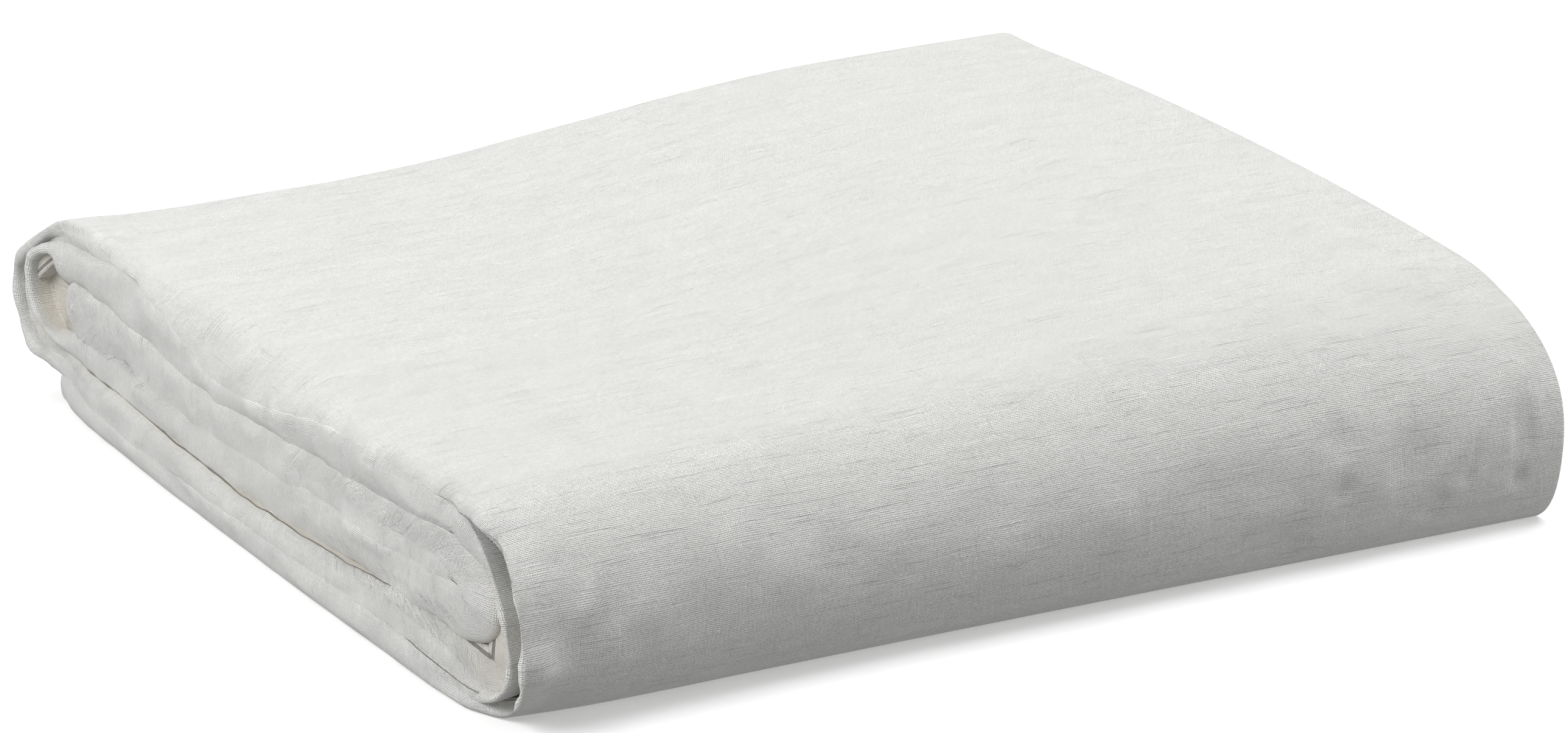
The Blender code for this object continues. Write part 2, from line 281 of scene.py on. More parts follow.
# Creases, dents and bulges, in millimetres: how far each raises the cloth, how wide it is and its
# path of points. It fades out over CREASE_FADE of its length at each end, and across it at
# CREASE_REACH times its width.
CREASE_FADE = 0.3
CREASE_REACH = 2.5
CREASES = (
    # The layered end at -X
    (1.8, 8, ((-199, -107, 44), (-199, -124, 45))),
    (-1.3, 3.2, ((-200, -112, 58), (-200, -126, 58), (-199, -136, 55), (-199, -140, 48))),
    (-2.0, 3.2, ((-199, -69, 35), (-200, -89, 33), (-199, -104, 34), (-199, -117, 35))),
    (-0.9, 5, ((-200, -49, 58), (-199, -60, 53))),
    (-1.2, 3.0, ((-200, -70, 53), (-198, -79, 47), (-199, -93, 39))),
    (1.3, 5, ((-200, -38, 33), (-199, -54, 44), (-198, -67, 47))),
    (-1.1, 5, ((-199, -150, 35), (-198, -160, 33))),
    (-0.9, 3.5, ((-199, -132, 39), (-198, -148, 38))),
    (-0.9, 2.6, ((-199, -159, 65), (-199, -164, 57), (-198, -165, 49))),
    (0.8, 2.6, ((-198, -145, 53), (-199, -157, 44))),
    (-0.9, 2.6, ((-199, -133, 46), (-198, -139, 39))),
    (0.6, 3.0, ((-200, -121, 32), (-201, -137, 31), (-200, -151, 28))),
    (-0.6, 2.2, ((-198, -9, 55), (-199, -19, 47))),
    (-0.6, 2.2, ((-198, -19, 57), (-200, -33, 51))),
    (0.5, 2.2, ((-198, -14, 56), (-200, -27, 50))),
    (-0.5, 2.2, ((-198, -32, 58), (-200, -42, 53))),
    (0.7, 2.2, ((-198, 79, 49), (-198, 64, 60))),
    (-0.6, 2.2, ((-200, 70, 51), (-197, 60, 61))),
    (-0.6, 2.2, ((-200, 25, 18), (-200, 14, 29))),
    (-0.6, 2.2, ((-199, -41, 21), (-200, -52, 31))),
    (-1.3, 4, ((-200, 97, 28), (-201, 74, 30))),
    (-1.1, 4, ((-200, 56, 27), (-200, 45, 26))),
    (-1.3, 4, ((-199, 3, 41), (-199, -14, 41))),
    (0.9, 5, ((-199, 36, 33), (-200, 15, 34))),
    (0.8, 4, ((-199, -17, 43), (-199, -34, 42))),
    (-1.8, 5, ((-190, 170, 25), (-199, 131, 33))),
    (-2.6, 4.5, ((-196, 143, 68), (-195, 132, 69), (-197, 116, 68))),
    (1.0, 3, ((-196, 149, 62), (-198, 122, 67), (-196, 107, 69))),
    (-1.2, 2.5, ((-198, 139, 48), (-199, 127, 46))),
    (0.8, 4, ((-199, 121, 47), (-200, 99, 42), (-200, 79, 37))),
    (-0.9, 4, ((-198, 115, 50), (-199, 88, 45), (-199, 58, 42), (-198, 31, 43))),
    (-1.8, 4, ((-201, 119, 17), (-201, 93, 18))),
    (-1.2, 2.0, ((-203, 95, 16), (-200, 82, 18))),
    (-1.5, 3.5, ((-202, -88, 13), (-201, -103, 12), (-201, -117, 12))),
    (-1.5, 3.5, ((-201, -92, 19), (-199, -111, 20), (-200, -136, 25))),
    (1.2, 6, ((-198, -136, 20), (-196, -155, 19))),
    (-1.2, 6, ((-200, 51, 40), (-199, 37, 31))),
    (0.8, 6, ((-198, -73, 21), (-199, -98, 24))),
    (-0.8, 5, ((-199, 12, 31), (-199, -9, 30))),
    (-0.9, 6, ((-199, -84, 60), (-200, -103, 60), (-200, -118, 63))),
    (-1.0, 6, ((-205, 24, 12), (-205, -6, 13))),
    (0.9, 7, ((-204, 73, 11), (-205, 46, 11))),
    (-1.0, 6, ((-204, -121, 9), (-204, -138, 8))),
    # The front fold beside that end
    (-2.0, 7, ((-195, -205, 33), (-193, -205, 25), (-193, -204, 18))),
    (0.9, 6, ((-180, -201, 39), (-180, -203, 30), (-180, -200, 16))),
    (-1.3, 8, ((-177, -200, 43), (-170, -200, 39))),
    (-1.2, 9, ((-159, -199, 40), (-152, -200, 35), (-143, -199, 31))),
    (0.9, 9, ((-140, -198, 36), (-131, -199, 32), (-123, -198, 28))),
    (-1.0, 9, ((-111, -196, 41), (-96, -196, 35), (-91, -197, 27))),
    (0.9, 9, ((-91, -194, 42), (-80, -195, 39), (-71, -196, 33))),
    (-0.9, 9, ((-75, -191, 48), (-65, -193, 43), (-55, -195, 36))),
    (0.7, 7, ((-178, -191, 56), (-180, -197, 50))),
    (-0.8, 10, ((-123, -191, 52), (-109, -192, 48))),
    (0.8, 10, ((-41, -193, 43), (-23, -193, 42), (-10, -195, 36))),
    (-0.9, 10, ((-28, -195, 33), (-10, -195, 29))),
    (-0.7, 5, ((-169, -201, 35), (-165, -201, 27), (-162, -199, 15))),
    (0.6, 4, ((-186, -200, 46), (-187, -203, 35), (-189, -204, 24))),
    # The front fold's other half
    (1.7, 2.8, ((115, -193, 32), (107, -193, 25))),
    (1.8, 3.0, ((168, -192, 38), (164, -193, 29), (161, -192, 20))),
    (1.5, 3.0, ((187, -192, 24), (182, -191, 17))),
    (-0.6, 6.0, ((96, -193, 27), (87, -192, 18))),
    (1.5, 6.0, ((105, -192, 43), (116, -189, 49))),
    (1.8, 12, ((179, -192, 40), (192, -192, 40))),
    (-1.4, 13, ((177, -187, 52), (194, -186, 53))),
    (-0.8, 9, ((159, -193, 29), (170, -193, 30))),
    (1.4, 9, ((44, -194, 37), (68, -193, 37), (90, -193, 39))),
    (1.0, 5, ((68, -187, 5), (89, -192, 18), (100, -193, 25))),
    (-0.8, 9, ((71, -194, 27), (93, -193, 22))),
    (1.8, 12, ((132, -191, 43), (152, -193, 29))),
    (-0.8, 9, ((117, -193, 25), (134, -193, 28))),
    (1.2, 5, ((146, -189, 9), (155, -192, 22))),
    (-0.5, 6, ((175, -189, 11), (179, -192, 22))),
    (-1.2, 8, ((13, -195, 34), (32, -194, 35))),
    (0.9, 4.5, ((78, -190, 12), (102, -191, 13))),
    # The top
    (-1.8, 9, ((132, 88, 89), (120, 1, 89), (117, -80, 85))),
    (1.4, 8, ((167, 139, 88), (152, 27, 89), (141, -54, 87))),
    (-1.2, 7, ((160, 95, 89), (147, 8, 89), (144, -26, 88))),
    (-1.4, 7, ((168, -66, 87), (167, -102, 84), (157, -136, 81), (150, -161, 74))),
    (1.2, 7, ((150, -71, 86), (149, -109, 83), (139, -144, 79), (131, -163, 73))),
    (-1.0, 6, ((182, -98, 84), (175, -131, 81), (164, -157, 75))),
    (-1.0, 8, ((-173, 162, 68), (-159, 136, 68), (-154, 111, 68))),
    (-0.9, 14, ((60, 73, 85), (57, -3, 85), (54, -65, 83))),
    (0.9, 14, ((65, 127, 85), (60, 36, 86), (62, -36, 84))),
    (1.0, 7, ((184, -129, 81), (182, -154, 76), (175, -175, 65))),
    (-0.9, 12, ((-42, 95, 73), (-46, 22, 73), (-58, -45, 72))),
    (0.8, 12, ((106, -37, 87), (97, -110, 83), (91, -160, 74))),
)

# Soft, uneven waves in the cloth: their height, their length along X, Y and Z, all in millimetres,
# where in the pattern they start, and whether they lie on the left end or on the rest
Wave = namedtuple("Wave", "height length seed at_end")
WAVES = (
    Wave(0.5, (70, 90, 60), 3.1, False),
    Wave(0.25, (24, 60, 30), 7.7, False),
    Wave(1.4, (40, 22, 16), 1.3, True),
    Wave(1.0, (30, 10, 9), 5.9, True),
    Wave(0.8, (20, 14, 12), 9.4, True),
)
END_WAVES_FROM = -0.184
END_WAVES_FADE = 0.012
WAVE_LEAST_SHARE = 0.01
REST_HEIGHT = 0.006

# How far behind the edge the painted shade starts on the cloth's inner side, a cream tint that stands
# for the light bounced and the shade in deep gaps, and over what depth; and how far a fold's end has
# to face -X for its threads to run straight on across it
PAINTED_GAP_SHADE_FROM = 0.0015
PAINTED_GAP_SHADE_FADE = 0.0035
END_FACING = -0.35

# Mesh density: the step along a layer, the steps across the outer and inner faces and around the
# left and right edges, and the rings that round the band's two ends, the smallest of them at
# CAP_START of a step from the end's middle. COLUMN_CROWDING draws the steps across towards the
# edges, 0 to 1. Hidden layers take only each COARSE_STEP-th of the steps across.
LAYER_STEP = 0.0028
OUTER_STEPS = 156
COARSE_STEP = 12
INNER_STEPS = 8
LEFT_STEPS = 24
RIGHT_STEPS = 12
CAP_RINGS = 5
CAP_START = 0.35
COLUMN_CROWDING = 0.5
SHOWN_BOTTOM_Y = -0.120

# The weave: metres from one thread to the next, across and along the band, how far the threads
# stand up, wander and run askew, and the relief of the crumpled cloth and the uneven yarn
WARP_PITCH = 0.00048
WEFT_PITCH = 0.00063
THREAD_HEIGHT = 0.00040
THREAD_WANDER = 0.0022
THREAD_SKEW = 0.012
CRUMPLE_HEIGHT = 0.0008
GRAIN_HEIGHT = 0.00036
# How high each thread lies where it is on top: its share with the other's crown, and without it
WARP_CROWN = (0.30, 0.20)
WEFT_CROWN = (0.55, 0.45)
# The size of each pattern's grains, in metres across and along the band
WANDER_ACROSS = (0.030, 0.012)
WANDER_ALONG = (0.012, 0.035)
WEFT_SLUB = (0.026, WEFT_PITCH * 1.1)
WARP_SLUB = (WARP_PITCH * 1.2, 0.020)
BARS = (0.180, 0.0035)
CLOUDS = (0.030, 0.030)
CRUMPLES = (0.011, 0.008)
GRAINS = (0.0018, 0.0012)
SLUB_HEIGHT = 0.6
# How much each pattern counts in the tone, and where the two colours lie on it
TONE_SHARES = {"threads": 0.75, "slubs": 0.15, "bars": 0.05, "clouds": 0.14, "grain": 0.42}
TONE_RANGE = (0.15, 0.85)
THREAD_COLOUR = (0.930, 0.930, 0.912, 1.0)
GAP_COLOUR = (0.620, 0.620, 0.590, 1.0)
# The painted shade's tint, multiplied into the colour in deep gaps behind the edges
PAINTED_GAP_SHADE_TINT = (1.0, 0.955, 0.880, 1.0)

# The camera stands at the photo's angle: degrees around Z and up, and metres to its target
PHOTO_WIDTH = 2576
CAMERA_AZIMUTH = -29.4
CAMERA_ELEVATION = 18.5
CAMERA_ROLL = 0.53
CAMERA_DISTANCE = 1.99
CAMERA_FOCAL_PIXELS = 9335
CAMERA_TARGET = (0.0054, -0.0028, 0.0318)
SENSOR_WIDTH = 36.0

# The studio: the floor's size and its own light, which keeps it as white as the photo's ground, the
# softboxes with their place, size in metres and power in watts, and where they point
FLOOR_HALF_SIZE = 12.0
FLOOR_GLOW = 0.22
Light = namedtuple("Light", "name place size power")
LIGHTS = (
    Light("softbox_right", (0.66, -0.22, 1.10), 0.8, 8.4),
    Light("softbox_back", (0.15, 1.00, 0.80), 0.7, 6.6),
    Light("softbox_left", (-1.10, -0.02, 0.76), 0.8, 12.0),
    Light("softbox_low", (1.05, -0.70, 0.32), 0.4, 3.4),
)
LIGHT_TARGET = (0.0, 0.0, 0.03)
WORLD_LIGHT = 0.37


# The sheet's middle line

Line = namedtuple("Line", "y z half")
# A place along the band: its layer, on a fold the layer that it goes to with the share of the way,
# and the fold itself, or the fold that is nearest on a layer
Place = namedtuple("Place", "layer other share fold")


def smooth(t):
    """0 to 1 with level ends."""
    t = np.clip(t, 0.0, 1.0)
    return t * t * (3.0 - 2.0 * t)


def through_three(y, back, middle, front):
    """The parabola through three values along Y, held level past its end stations."""
    t = np.clip(y / STATION_Y, -1.0, 1.0)
    return middle + t * (back - front) / 2.0 + t * t * ((back + front) / 2.0 - middle)


def curve_through(y, places, values):
    """A smooth curve through values at places along Y, held level past its ends."""
    slopes = np.gradient(values, places)
    i = int(np.clip(np.searchsorted(places, y) - 1, 0, len(places) - 2))
    step = places[i + 1] - places[i]
    t = min(max((y - places[i]) / step, 0.0), 1.0)
    start = values[i] * (1 + 2 * t) * (1 - t) ** 2 + slopes[i] * step * t * (1 - t) ** 2
    return start + values[i + 1] * t * t * (3 - 2 * t) - slopes[i + 1] * step * t * t * (1 - t)


def packet_height(x, y):
    even = (x + LENGTH / 2.0) / LENGTH
    rise = RISE_EVEN_SHARE * even + (1.0 - RISE_EVEN_SHARE) * smooth((x - RISE_START) / RISE_LENGTH)
    left = through_three(y, *HEIGHT_LEFT)
    right = through_three(y, *HEIGHT_RIGHT)
    return (left + (right - left) * rise) * MM


def stack_height(y):
    thick = sum(through_three(y, row.back, row.middle, row.front) for row in STACK)
    return thick * MM + GAP * (len(STACK) - 1)


def even_layer(name, y):
    """A layer's middle height and half thickness away from the left end."""
    height = 0.0
    for row in STACK:
        thick = through_three(y, row.back, row.middle, row.front) * MM
        if row.name == name:
            return height + thick / 2.0, (thick + GAP - SKIN_GAP) / 2.0
        height += thick + GAP
    raise KeyError(name)


def left_end_layer(name, y):
    """A layer's middle height and half thickness at the very left end, in the even packet's sizes."""
    places = np.array([row.y for row in LEFT_END]) * MM
    names = [row.name for row in STACK]
    i = names.index(name)
    high = curve_through(y, places, np.array([getattr(row, name) for row in LEFT_END]) * MM)
    high -= LEFT_GAPS[name] * MM / 2.0
    low = 0.0
    if i > 0:
        below = names[i - 1]
        low = curve_through(y, places, np.array([getattr(row, below) for row in LEFT_END]) * MM)
        low += LEFT_GAPS[below] * MM / 2.0
    even = stack_height(y) / packet_height(-LENGTH / 2.0, y)
    return (low + high) / 2.0 * even, (high - low) / 2.0 * even


def quarter(start, reach, t, full, outward):
    """A point on a quarter of a squared ellipse between a layer's end and its fold's reach."""
    angle = t * math.pi / 2.0 if outward else (1.0 - t) * math.pi / 2.0
    along = math.sin(angle) ** (2.0 / full)
    rise = math.cos(angle) ** (2.0 / full)
    return start[0] + (reach[0] - start[0]) * along, reach[1] + (start[1] - reach[1]) * rise


def fold_line(fold, end, upper_z, lower_z, from_upper):
    """The middle line of one fold, with the ends of its layers left out."""
    steps = fold.steps // 2
    reach = (end.reach_y * MM, end.reach_z * MM)
    upper = ((end.upper_y * MM, upper_z), end.full_up)
    lower = ((end.lower_y * MM, lower_z), end.full_down)
    first, last = (upper, lower) if from_upper else (lower, upper)
    points = [quarter(first[0], reach, i / steps, first[1], True) for i in range(1, steps + 1)]
    points += [quarter(last[0], reach, i / steps, last[1], False) for i in range(1, steps)]
    return points


def band_run():
    """The layers and folds in the band's order: each layer's name with the fold at either end."""
    run = []
    name = "bottom"
    before = None
    for after in FOLDS + (None,):
        run.append((name, before, after))
        if after is not None:
            name = after.upper if after.lower == name else after.lower
            before = after
    return run


def layer_end_y(fold, name, side):
    end = getattr(fold, side)
    return (end.upper_y if fold.upper == name else end.lower_y) * MM


def layer_span(name, before, after, side):
    """Where along Y a layer starts and ends, in the band's order."""
    first = OUTER_END_Y[side] * MM if before is None else layer_end_y(before, name, side)
    last = INNER_END_Y[side] * MM if after is None else layer_end_y(after, name, side)
    return first, last


def layer_steps(name, before, after):
    first, last = layer_span(name, before, after, "left")
    return round(abs(last - first) / LAYER_STEP)


def band_line(side, layer_at):
    """The band's middle line at one end of the packet, where layer_at gives a layer's height."""
    rows = []
    for name, before, after in band_run():
        first, last = layer_span(name, before, after, side)
        for y in np.linspace(first, last, layer_steps(name, before, after) + 1):
            rows.append((y, *layer_at(name, y)))
        if after is None:
            continue
        from_upper = after.upper == name
        other = after.lower if from_upper else after.upper
        upper_z = layer_at(after.upper, layer_end_y(after, after.upper, side))[0]
        lower_z = layer_at(after.lower, layer_end_y(after, after.lower, side))[0]
        points = fold_line(after, getattr(after, side), upper_z, lower_z, from_upper)
        half_from = layer_at(name, last)[1]
        half_to = layer_at(other, layer_end_y(after, other, side))[1]
        for i, (y, z) in enumerate(points, start=1):
            rows.append((y, z, half_from + (half_to - half_from) * i / (len(points) + 1)))
    return Line(*np.array(rows).T)


def band_places():
    """What each station of the band's middle line lies on."""
    places = []
    for name, before, after in band_run():
        steps = layer_steps(name, before, after)
        for i in range(steps + 1):
            near = after if before is None or (after is not None and i * 2 > steps) else before
            places.append(Place(name, name, 0.0, near.name))
        if after is not None:
            other = after.lower if after.upper == name else after.upper
            count = 2 * (after.steps // 2) - 1
            places += [Place(name, other, i / (count + 1), after.name) for i in range(1, count + 1)]
    return places


# The shape of the band's two edges

EdgeShape = namedtuple(
    "EdgeShape", "stands_out outer_nose inner_nose tip lip recess lip_thickness full")


def end_at(rows, y):
    """A layer's end at one place along Y, between the rows of its table."""
    places, *values = zip(*rows)
    return np.array([np.interp(y, np.array(places) * MM, column) for column in values])


def edge_shapes(places, line, ends, lips, fulls):
    """One row for each station: how the band's edge is shaped there."""
    rows = []
    for place, y in zip(places, line.y):
        one = end_at(ends[place.layer], y)
        two = end_at(ends[place.other], y)
        stands_out, outer_nose, inner_nose, tip, lip = one + (two - one) * place.share
        full_one = fulls.get(place.layer, 2.0)
        full = full_one + (fulls.get(place.other, 2.0) - full_one) * place.share
        recess, lip_thickness = lips[place.fold]
        rows.append((stands_out * MM, outer_nose * MM, inner_nose * MM, tip, lip,
                     recess * MM, lip_thickness * MM, full))
    return EdgeShape(*np.array(rows).T)


def edge_profile(shape, half, steps):
    """From the outer face around the edge to the inner one: the depth behind the tip and the place
    across the band, 1 to -1, as arrays of stations by points."""
    quarter_steps = steps // 2
    angle = np.linspace(math.pi / 2.0, 0.0, quarter_steps + 1)
    tip = shape.tip[:, None]
    power = 2.0 / shape.full[:, None]
    outer = (
        shape.outer_nose[:, None] * (1 - np.abs(np.cos(angle)) ** power),
        tip + (1 - tip) * np.sin(angle) ** power,
    )
    angle = angle[::-1][1:]
    inner = (shape.inner_nose[:, None] * (1 - np.cos(angle)), tip - (1 + tip) * np.sin(angle))
    ridge_depth = np.hstack([outer[0], inner[0]])
    ridge_across = np.hstack([outer[1], inner[1]])
    lip_share = shape.lip_thickness[:, None] / half[:, None]
    round_steps = steps // 3
    wall_steps = (steps - round_steps) // 2
    floor_steps = steps - round_steps - wall_steps
    angle = np.linspace(math.pi / 2.0, -math.pi / 2.0, round_steps + 1)
    recess = shape.recess[:, None]
    wall = np.linspace(0.0, 1.0, wall_steps + 1)[1:]
    floor = np.linspace(0.0, 1.0, floor_steps + 1)[1:]
    radius = shape.lip_thickness[:, None] / 2.0
    lip_depth = np.hstack([
        radius * (1 - np.cos(angle)),
        radius + (recess - radius) * wall,
        np.repeat(recess, floor_steps, axis=1),
    ])
    lip_across = np.hstack([
        1 - lip_share / 2.0 * (1 - np.sin(angle)),
        np.repeat(1 - lip_share, wall_steps, axis=1),
        (1 - lip_share) + (-2 + lip_share) * floor,
    ])
    lip = shape.lip[:, None]
    depth = ridge_depth + (lip_depth - ridge_depth) * lip
    across = ridge_across + (lip_across - ridge_across) * lip
    return depth, across


# The sheet's surface

def front_flare(x, y, z):
    near = np.exp(-(x + LENGTH / 2.0) / FLARE_FADE)
    tucked = 1.0 - FLARE_TUCK * near * smooth(1.0 - z / FLARE_TUCK_HEIGHT)
    return FLARE * near * tucked * smooth((y - FLARE_FROM) / (FLARE_FULL - FLARE_FROM))


def corner_retreat(line):
    low = smooth((CORNER_TOP_Z - line.z) / CORNER_TOP_Z)
    return CORNER * low * smooth((CORNER_FROM_Y - line.y) / CORNER_LENGTH_Y)


def middle_line(edge, left, right, x, shift=0):
    """The band's y, z and half thickness at every point, or at the station before or after it."""
    rows = np.clip(np.arange(x.shape[0]) + shift, 0, x.shape[0] - 1)
    t = np.clip((x + LENGTH / 2.0) / LENGTH, 0.0, 1.0)
    sag = np.exp(-(np.maximum(x + LENGTH / 2.0, 0.0) / LEFT_SAG_FADE) ** 2)
    values = []
    for a, b, c in zip(edge, left, right):
        even = b[rows, None] + (c[rows, None] - b[rows, None]) * t
        values.append(even + (a[rows, None] - even) * sag)
    return values


def sheet_points():
    """The skin's points as an array of rings by columns, for each ring whether it shows and whether
    it lies on a fold, and for each point its share of painted shade, deeper behind the edge."""
    edge = band_line("left", left_end_layer)
    left = band_line("left", even_layer)
    right = band_line("right", even_layer)
    places = band_places()
    left_shape = edge_shapes(places, edge, LEFT_ENDS, LEFT_LIPS, OUTER_FULL)
    right_shape = edge_shapes(places, right, RIGHT_ENDS, RIGHT_LIPS, {})
    left_depth, left_across = edge_profile(left_shape, edge.half, LEFT_STEPS)
    right_depth, right_across = edge_profile(right_shape, right.half, RIGHT_STEPS)
    left_tip = -LENGTH / 2.0 - left_shape.stands_out + corner_retreat(left)
    right_tip = LENGTH / 2.0 + right_shape.stands_out
    left_x = left_tip[:, None] + left_depth
    right_x = right_tip[:, None] - right_depth

    even = np.linspace(0.0, 1.0, OUTER_STEPS + 1)
    crowded = (1 - np.cos(math.pi * even)) / 2.0
    spread = (even + (crowded - even) * COLUMN_CROWDING)[None, 1:-1]
    outer_x = left_x[:, :1] + (right_x[:, :1] - left_x[:, :1]) * spread
    inner = np.linspace(0.0, 1.0, INNER_STEPS + 1)[None, 1:-1]
    inner_x = right_x[:, -1:] + (left_x[:, -1:] - right_x[:, -1:]) * inner
    x = np.hstack([left_x[:, :1], outer_x, right_x, inner_x, left_x[:, :0:-1]])
    across = np.hstack([
        left_across[:, :1], np.ones_like(outer_x), right_across, -np.ones_like(inner_x),
        left_across[:, :0:-1],
    ])

    closing = np.array([CLOSINGS.get(place.fold, (0.0, 0.0, 0.0)) for place in places]) * MM
    closed = (closing[:, 2] > 0.0) & (np.abs(edge.y) > CLOSING_FROM_Y)
    first_left = x.shape[1] - LEFT_STEPS
    closed_x = closing[closed, 2] - LENGTH / 2.0
    x[closed, first_left - 1] = closed_x + CLOSING_COLUMN
    x[closed, first_left - 2] = closed_x + 2.0 * CLOSING_COLUMN
    shown = shown_stations(places, edge)
    depth = np.hstack([left_depth[:, :1], np.zeros_like(outer_x), right_depth, np.ones_like(inner_x),
                       left_depth[:, :0:-1]])
    # Painted shade: a cream tint for the bounced light and shade of deep gaps, deeper behind the edge
    inner_side = (across < np.minimum(left_shape.tip, 0.0)[:, None]) | ~shown[:, None]
    inside = smooth((depth - PAINTED_GAP_SHADE_FROM) / PAINTED_GAP_SHADE_FADE) * inner_side

    y, z, half = middle_line(edge, left, right, x)
    y0, z0, _ = middle_line(edge, left, right, x, -1)
    y1, z1, _ = middle_line(edge, left, right, x, 1)
    flat = np.array([place.layer == place.other for place in places])[:, None]
    z1 = np.where(flat, z0, z1)
    long = np.hypot(y1 - y0, z1 - z0)
    along_y = (y1 - y0) / long
    along_z = (z1 - z0) / long
    middle_x = (left_tip + right_tip)[:, None] / 2.0

    rings = []
    angles = [math.pi / 2.0 * (ring + CAP_START) / CAP_RINGS for ring in range(CAP_RINGS)]
    caps = [(0, math.sin(a), -math.cos(a)) for a in angles]
    caps += [(None, 1.0, 0.0)]
    caps += [(-1, math.sin(a), math.cos(a)) for a in reversed(angles)]
    for row, size, shift in caps:
        rows = slice(None) if row is None else slice(row, row + 1 or None)
        offset = across[rows] * size * half[rows]
        move = shift * half[rows]
        ring_x = x[rows] - np.sign(x[rows] - middle_x[rows]) * (1.0 - size) * half[rows]
        ring_y = y[rows] - offset * along_z[rows] + move * along_y[rows]
        ring_z = z[rows] + offset * along_y[rows] + move * along_z[rows]
        rings.append(np.stack([ring_x, ring_y, ring_z], axis=-1))
    close_fold_ends(rings[CAP_RINGS], closed, closing[closed, :2], left_shape.lip, first_left)
    points = np.concatenate(rings)
    px, py, pz = points[..., 0], points[..., 1], points[..., 2]
    true_z = pz * packet_height(px, py) / stack_height(py)
    true_z = np.maximum(true_z, 0.0)
    points = np.stack([px - MIDDLE_X, py - front_flare(px, py, true_z) - MIDDLE_Y, true_z], axis=-1)
    turning = np.array([place.layer != place.other for place in places])
    return (points, np.pad(shown, CAP_RINGS), np.pad(turning, CAP_RINGS),
            np.pad(inside, ((CAP_RINGS, CAP_RINGS), (0, 0)), mode="edge"))


def close_fold_ends(ring, closed, centre, lip, inmost):
    """Lays the recess floor and the columns behind it straight to the point where the fold closes."""
    floor_steps = LEFT_STEPS - 2 * (LEFT_STEPS // 3)
    wall = ring[closed, inmost + floor_steps, 1:].copy()
    for k in range(floor_steps):
        straight = wall + (centre - wall) * CLOSING_FLOOR * (1.0 - k / floor_steps)
        change = (straight - ring[closed, inmost + k, 1:]) * lip[closed, None]
        ring[closed, inmost + k, 1:] += change
    ring[closed, inmost - 1, 1:] = (ring[closed, inmost, 1:] + centre) / 2.0
    ring[closed, inmost - 2, 1:] = centre + (ring[closed, inmost, 1:] - centre) * CLOSING_OPEN


def shown_stations(places, line):
    """True for each station on the packet's outside: the top, both outer folds and the front."""
    outside = ("front_outer", "back_outer")
    return np.array([
        place.layer == "top" or (place.layer != place.other and place.fold in outside)
        or (place.layer == "bottom" and y < SHOWN_BOTTOM_Y)
        for place, y in zip(places, line.y)
    ])


def sheet_faces(index, shown):
    """Faces over the array of rings by columns, coarser across where a ring is hidden."""
    faces = []
    beside = np.roll(index, -1, axis=1)
    rings = len(index)
    for i in range(rings - 1):
        fine = shown[i] and shown[i + 1]
        first = 0 if fine else OUTER_STEPS
        near, near_beside = index[i, first:], beside[i, first:]
        far, far_beside = index[i + 1, first:], beside[i + 1, first:]
        faces += np.stack([near, far, far_beside, near_beside], axis=-1).tolist()
        if fine:
            continue
        for a in range(0, OUTER_STEPS, COARSE_STEP):
            b = a + COARSE_STEP
            near = index[i, a:b + 1] if shown[i] else index[i, a:b + 1:COARSE_STEP]
            far = index[i + 1, a:b + 1] if shown[i + 1] else index[i + 1, a:b + 1:COARSE_STEP]
            faces.append(far.tolist() + near[::-1].tolist())
    return faces


def weave_coordinates(points, turning):
    """Metres of cloth across and along the band, measured from the outer face's middle. Along the
    band each column keeps its own length between the middles of two layers."""
    start = OUTER_STEPS // 2
    rolled = np.roll(points, -start, axis=1)
    steps = np.linalg.norm(np.diff(rolled, axis=1), axis=2)
    across = np.hstack([np.zeros((len(points), 1)), np.cumsum(steps, axis=1)])
    around = across[:, -1:] + np.linalg.norm(rolled[:, :1] - rolled[:, -1:], axis=2)
    seam = points.shape[1] - (points.shape[1] // 2)
    across[:, seam:] -= around
    own = np.cumsum(np.linalg.norm(np.diff(points, axis=0, prepend=points[:1]), axis=2), axis=0)
    middle = own[:, start]
    changes = np.nonzero(np.diff(turning.astype(int)))[0]
    layer_starts = np.concatenate([[0], changes[1::2] + 1])
    layer_ends = np.concatenate([changes[::2], [len(points) - 1]])
    anchors = np.concatenate([[0], (layer_starts + layer_ends) // 2, [len(points) - 1]])
    along = np.zeros_like(own)
    for a, b in zip(anchors[:-1], anchors[1:]):
        share = (own[a:b + 1] - own[a]) / (own[b] - own[a])
        along[a:b + 1] = middle[a] + share * (middle[b] - middle[a])
    return np.roll(across, start, axis=1), along


# The relief that washing, folding and lying leave

def path_distance(places, path):
    """How far each place is from a path of points, and the share of the path's length there."""
    lengths = np.linalg.norm(np.diff(path, axis=0), axis=1)
    ends = np.concatenate([[0.0], np.cumsum(lengths)]) / lengths.sum()
    best = np.full(len(places), np.inf)
    share = np.zeros(len(places))
    for i in range(len(path) - 1):
        step = path[i + 1] - path[i]
        t = np.clip((places - path[i]) @ step / (step @ step), 0.0, 1.0)
        distance = np.linalg.norm(places - path[i] - t[:, None] * step, axis=1)
        closer = distance < best
        best[closer] = distance[closer]
        share[closer] = (ends[i] + (ends[i + 1] - ends[i]) * t)[closer]
    return best, share


def crease_relief(places):
    """Metres that the listed creases, dents and bulges raise each place."""
    relief = np.zeros(len(places))
    for height, width, path in CREASES:
        path = np.array(path, dtype=float) * MM
        width = width * MM
        low = path.min(axis=0) - CREASE_REACH * width
        high = path.max(axis=0) + CREASE_REACH * width
        near = np.all((places > low) & (places < high), axis=1)
        distance, share = path_distance(places[near], path)
        fade = smooth(np.minimum(share, 1.0 - share) / CREASE_FADE)
        relief[near] += height * MM * np.exp(-(distance / width) ** 2) * fade
    return relief


